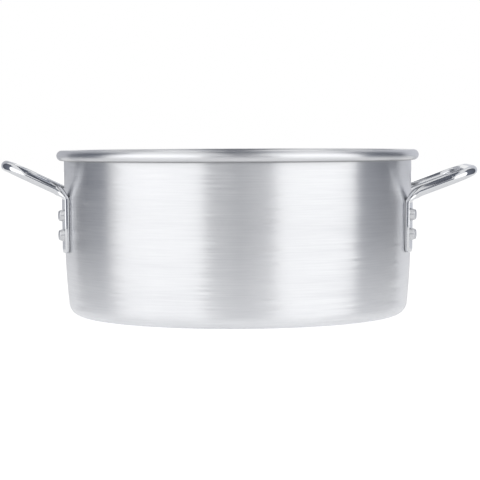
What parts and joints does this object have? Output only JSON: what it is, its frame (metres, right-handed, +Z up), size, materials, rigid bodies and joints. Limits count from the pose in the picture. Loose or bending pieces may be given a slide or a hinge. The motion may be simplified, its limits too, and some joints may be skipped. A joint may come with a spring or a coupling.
{
  "type": "brew kettle",
  "caption": "Wide straight-sided aluminium brew kettle, open at the top, with a rolled rim and riveted rod loop handles on opposite sides.",
  "frame": {"origin": "centre of the base's resting face", "axes": "+Z up through the open mouth; left handle along -X, right handle along +X; front towards -Y"},
  "size_m": [0.5176, 0.3972, 0.18],
  "materials": {
    "pot_aluminium": "satin, brushed round the wall",
    "handle_rod": "bright",
    "rivet_aluminium": "dull"
  },
  "bodies": {
    "root": {"pot_shell": "pot_aluminium", "handle_left": "handle_rod", "handle_right": "handle_rod", "rivet_left_front_upper": "rivet_aluminium", "rivet_left_front_lower": "rivet_aluminium", "rivet_left_rear_upper": "rivet_aluminium", "rivet_left_rear_lower": "rivet_aluminium", "rivet_right_front_upper": "rivet_aluminium", "rivet_right_front_lower": "rivet_aluminium", "rivet_right_rear_upper": "rivet_aluminium", "rivet_right_rear_lower": "rivet_aluminium"}
  },
  "joints": []
}
